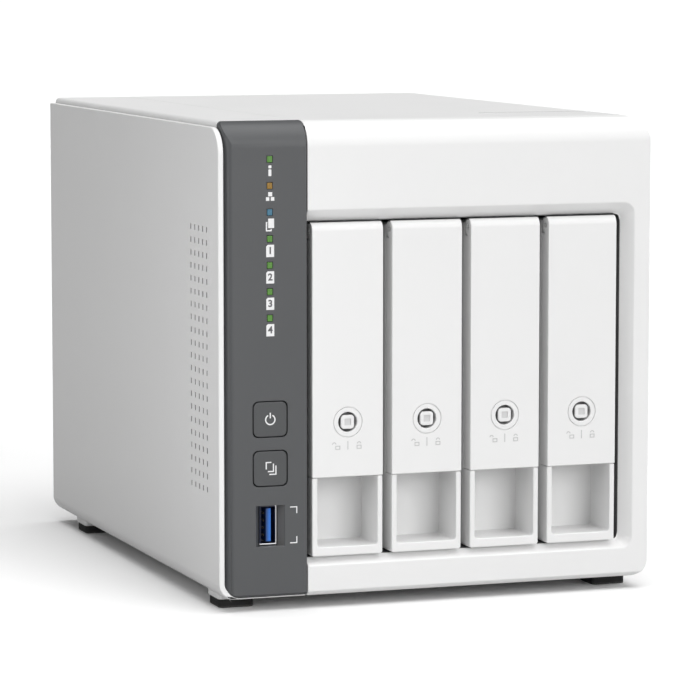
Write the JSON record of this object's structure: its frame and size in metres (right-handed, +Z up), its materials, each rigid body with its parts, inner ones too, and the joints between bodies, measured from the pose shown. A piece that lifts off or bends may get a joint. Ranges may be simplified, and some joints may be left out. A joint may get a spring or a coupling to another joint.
{
  "type": "network attached storage",
  "caption": "Desktop storage server: white shell with a dark front strip, upright pull-out drive trays with hinged levers, feet and a rear fan.",
  "frame": {"origin": "middle of the footprint, on the surface that the rubber feet stand on", "axes": "+Z up, front towards -Y, the dark strip on the -X side"},
  "size_m": [0.16, 0.219, 0.1685],
  "materials": {
    "white_plastic": "fine-textured moulded plastic, satin",
    "grey_plastic": "satin moulded plastic",
    "button_plastic": "satin moulded plastic",
    "rubber": "matte",
    "clear_plastic": "clear moulded light pipe",
    "circuit_board": "solder mask",
    "sheet_steel": "zinc-plated sheet",
    "rear_sheet": "painted sheet steel",
    "bright_steel": "nickel-plated",
    "black_plastic": "moulded",
    "blue_plastic": "moulded",
    "aluminium": "extruded",
    "drive_metal": "cast, with a stamped lid"
  },
  "bodies": {
    "enclosure": {"main_cover": "white_plastic", "side_panel": "white_plastic", "top_trim": "white_plastic", "front_strip": "grey_plastic", "rear_panel": "rear_sheet", "foot_front_left": "rubber", "foot_front_right": "rubber", "foot_rear_left": "rubber", "foot_rear_right": "rubber", "light_guide": "clear_plastic", "front_board": "circuit_board", "usb_front_shell": "bright_steel", "usb_front_tongue": "blue_plastic", "drive_cage": "sheet_steel", "cage_top": "sheet_steel", "guide_bottom": "black_plastic", "guide_top": "black_plastic", "backplane": "circuit_board", "drive_socket_1": "black_plastic", "drive_socket_2": "black_plastic", "drive_socket_3": "black_plastic", "drive_socket_4": "black_plastic", "main_board": "circuit_board", "heatsink": "aluminium", "memory_module": "circuit_board", "coin_cell": "bright_steel", "lan_port_1": "bright_steel", "lan_port_2": "bright_steel", "usb_rear": "bright_steel", "dc_jack": "black_plastic", "fan_frame": "black_plastic", "fan_screw_1": "bright_steel", "fan_screw_2": "bright_steel", "fan_screw_3": "bright_steel", "fan_screw_4": "bright_steel"},
    "power_button": {"power_button": "button_plastic"},
    "copy_button": {"copy_button": "button_plastic"},
    "reset_button": {"reset_button": "black_plastic"},
    "fan_rotor": {"fan_rotor": "black_plastic"},
    "tray_1": {"tray_1": "white_plastic", "lever_pin_1": "bright_steel", "drive_1": "drive_metal"},
    "lever_1": {"lever_1": "white_plastic"},
    "lock_1": {"lock_1": "white_plastic"},
    "tray_2": {"tray_2": "white_plastic", "lever_pin_2": "bright_steel", "drive_2": "drive_metal"},
    "lever_2": {"lever_2": "white_plastic"},
    "lock_2": {"lock_2": "white_plastic"},
    "tray_3": {"tray_3": "white_plastic", "lever_pin_3": "bright_steel", "drive_3": "drive_metal"},
    "lever_3": {"lever_3": "white_plastic"},
    "lock_3": {"lock_3": "white_plastic"},
    "tray_4": {"tray_4": "white_plastic", "lever_pin_4": "bright_steel", "drive_4": "drive_metal"},
    "lever_4": {"lever_4": "white_plastic"},
    "lock_4": {"lock_4": "white_plastic"}
  },
  "joints": [
    {"name": "power_press", "type": "slide", "parent": "enclosure", "child": "power_button", "axis": [0, 1, 0], "range_m": [0, 0.0012], "stiffness_N_per_m": 900, "springref_m": -0.0006},
    {"name": "copy_press", "type": "slide", "parent": "enclosure", "child": "copy_button", "axis": [0, 1, 0], "range_m": [0, 0.0012], "stiffness_N_per_m": 900, "springref_m": -0.0006},
    {"name": "reset_press", "type": "slide", "parent": "enclosure", "child": "reset_button", "axis": [0, -1, 0], "range_m": [0, 0.0008], "stiffness_N_per_m": 500, "springref_m": -0.0006},
    {"name": "fan_spin", "type": "hinge", "parent": "enclosure", "child": "fan_rotor", "pos_m": [0.014, 0.09, 0.088], "axis": [0, 1, 0], "continuous": true},
    {"name": "tray_slide_1", "type": "slide", "parent": "enclosure", "child": "tray_1", "axis": [0, -1, 0], "range_m": [0, 0.19]},
    {"name": "lever_hinge_1", "type": "hinge", "parent": "tray_1", "child": "lever_1", "pos_m": [-0.03331, -0.1065, 0.1306], "axis": [-1, 0, 0], "range_deg": [0, 60]},
    {"name": "lock_turn_1", "type": "hinge", "parent": "lever_1", "child": "lock_1", "pos_m": [-0.03331, -0.1065, 0.0645], "axis": [0, 1, 0], "range_deg": [0, 90]},
    {"name": "tray_slide_2", "type": "slide", "parent": "enclosure", "child": "tray_2", "axis": [0, -1, 0], "range_m": [0, 0.19]},
    {"name": "lever_hinge_2", "type": "hinge", "parent": "tray_2", "child": "lever_2", "pos_m": [-0.00413, -0.1065, 0.1306], "axis": [-1, 0, 0], "range_deg": [0, 60]},
    {"name": "lock_turn_2", "type": "hinge", "parent": "lever_2", "child": "lock_2", "pos_m": [-0.00413, -0.1065, 0.0645], "axis": [0, 1, 0], "range_deg": [0, 90]},
    {"name": "tray_slide_3", "type": "slide", "parent": "enclosure", "child": "tray_3", "axis": [0, -1, 0], "range_m": [0, 0.19]},
    {"name": "lever_hinge_3", "type": "hinge", "parent": "tray_3", "child": "lever_3", "pos_m": [0.02506, -0.1065, 0.1306], "axis": [-1, 0, 0], "range_deg": [0, 60]},
    {"name": "lock_turn_3", "type": "hinge", "parent": "lever_3", "child": "lock_3", "pos_m": [0.02506, -0.1065, 0.0645], "axis": [0, 1, 0], "range_deg": [0, 90]},
    {"name": "tray_slide_4", "type": "slide", "parent": "enclosure", "child": "tray_4", "axis": [0, -1, 0], "range_m": [0, 0.19]},
    {"name": "lever_hinge_4", "type": "hinge", "parent": "tray_4", "child": "lever_4", "pos_m": [0.05423, -0.1065, 0.1306], "axis": [-1, 0, 0], "range_deg": [0, 60]},
    {"name": "lock_turn_4", "type": "hinge", "parent": "lever_4", "child": "lock_4", "pos_m": [0.05423, -0.1065, 0.0645], "axis": [0, 1, 0], "range_deg": [0, 90]}
  ]
}
